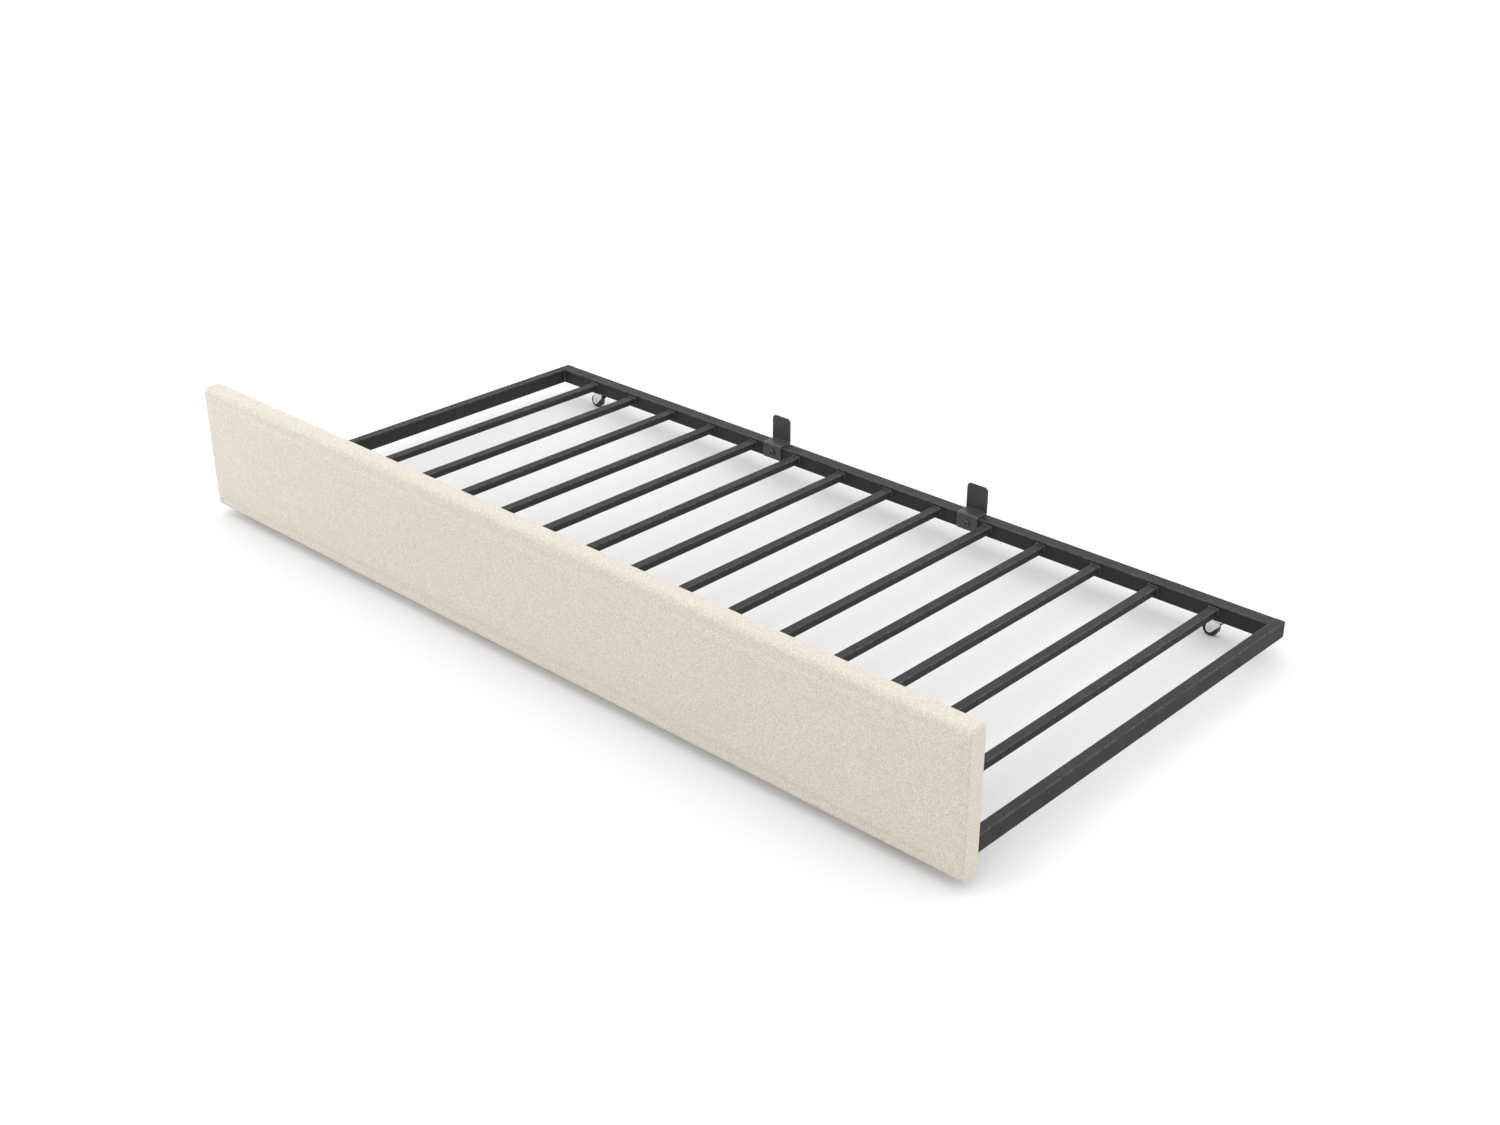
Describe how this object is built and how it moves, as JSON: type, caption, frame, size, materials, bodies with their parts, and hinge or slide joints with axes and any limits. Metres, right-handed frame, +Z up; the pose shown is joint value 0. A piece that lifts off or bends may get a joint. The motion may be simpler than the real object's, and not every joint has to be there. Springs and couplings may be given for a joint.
{
  "type": "trundle bed",
  "caption": "Low pull-out bed: slatted rectangular steel tube frame on swivel casters, upholstered front panel, two stop tabs on the rear rail.",
  "frame": {"origin": "on the floor under the middle of the bed's bounding box", "axes": "+X along the bed's length, to the right seen from the panel; +Y from the panel towards the rear rail; +Z up"},
  "size_m": [1.932, 0.96, 0.279],
  "materials": {
    "frame_black": "satin black powder coat",
    "cover_cream": "short-pile cream upholstery cloth",
    "lining": "black non-woven dust cloth",
    "foam": "open-cell foam",
    "board": "raw plywood",
    "zinc": "bright zinc plate",
    "bolt_black": "black oxide",
    "wheel_black": "moulded black nylon",
    "plug_black": "moulded black polyethylene"
  },
  "bodies": {
    "frame": {"front_rail": "frame_black", "rear_rail": "frame_black", "side_rail_left": "frame_black", "side_rail_cap_left": "plug_black", "caster_packer_left": "frame_black", "stop_tab_left": "frame_black", "stop_tab_bolt_left": "bolt_black", "stop_tab_nut_left": "zinc", "side_rail_right": "frame_black", "side_rail_cap_right": "plug_black", "caster_packer_right": "frame_black", "stop_tab_right": "frame_black", "stop_tab_bolt_right": "bolt_black", "stop_tab_nut_right": "zinc", "slat_01": "frame_black", "slat_02": "frame_black", "slat_03": "frame_black", "slat_04": "frame_black", "slat_05": "frame_black", "slat_06": "frame_black", "slat_07": "frame_black", "slat_08": "frame_black", "slat_09": "frame_black", "slat_10": "frame_black", "slat_11": "frame_black", "slat_12": "frame_black", "slat_13": "frame_black", "slat_14": "frame_black", "panel_board": "board", "panel_foam": "foam", "panel_cover": "cover_cream", "panel_lining": "lining", "panel_bolt_1": "bolt_black", "panel_tee_nut_1": "zinc", "panel_bolt_2": "bolt_black", "panel_tee_nut_2": "zinc", "panel_bolt_3": "bolt_black", "panel_tee_nut_3": "zinc", "panel_bolt_4": "bolt_black", "panel_tee_nut_4": "zinc", "caster_front_left_plate": "zinc", "caster_front_left_king_rivet": "zinc", "caster_front_right_plate": "zinc", "caster_front_right_king_rivet": "zinc", "caster_rear_left_plate": "zinc", "caster_rear_left_king_rivet": "zinc", "caster_rear_right_plate": "zinc", "caster_rear_right_king_rivet": "zinc"},
    "fork_front_left": {"caster_front_left_fork": "zinc", "caster_front_left_axle": "zinc"},
    "wheel_front_left": {"caster_front_left_wheel": "wheel_black"},
    "fork_front_right": {"caster_front_right_fork": "zinc", "caster_front_right_axle": "zinc"},
    "wheel_front_right": {"caster_front_right_wheel": "wheel_black"},
    "fork_rear_left": {"caster_rear_left_fork": "zinc", "caster_rear_left_axle": "zinc"},
    "wheel_rear_left": {"caster_rear_left_wheel": "wheel_black"},
    "fork_rear_right": {"caster_rear_right_fork": "zinc", "caster_rear_right_axle": "zinc"},
    "wheel_rear_right": {"caster_rear_right_wheel": "wheel_black"}
  },
  "joints": [
    {"name": "swivel_front_left", "type": "hinge", "parent": "frame", "child": "fork_front_left", "pos_m": [-0.82333, -0.3894, 0.035], "axis": [0, 0, 1], "continuous": true},
    {"name": "roll_front_left", "type": "hinge", "parent": "fork_front_left", "child": "wheel_front_left", "pos_m": [-0.83033, -0.3894, 0.0155], "axis": [0, 1, 0], "continuous": true},
    {"name": "swivel_front_right", "type": "hinge", "parent": "frame", "child": "fork_front_right", "pos_m": [0.82333, -0.3894, 0.035], "axis": [0, 0, 1], "continuous": true},
    {"name": "roll_front_right", "type": "hinge", "parent": "fork_front_right", "child": "wheel_front_right", "pos_m": [0.81633, -0.3894, 0.0155], "axis": [0, 1, 0], "continuous": true},
    {"name": "swivel_rear_left", "type": "hinge", "parent": "frame", "child": "fork_rear_left", "pos_m": [-0.82333, 0.4655, 0.035], "axis": [0, 0, 1], "continuous": true},
    {"name": "roll_rear_left", "type": "hinge", "parent": "fork_rear_left", "child": "wheel_rear_left", "pos_m": [-0.83033, 0.4655, 0.0155], "axis": [0, 1, 0], "continuous": true},
    {"name": "swivel_rear_right", "type": "hinge", "parent": "frame", "child": "fork_rear_right", "pos_m": [0.82333, 0.4655, 0.035], "axis": [0, 0, 1], "continuous": true},
    {"name": "roll_rear_right", "type": "hinge", "parent": "fork_rear_right", "child": "wheel_rear_right", "pos_m": [0.81633, 0.4655, 0.0155], "axis": [0, 1, 0], "continuous": true}
  ]
}
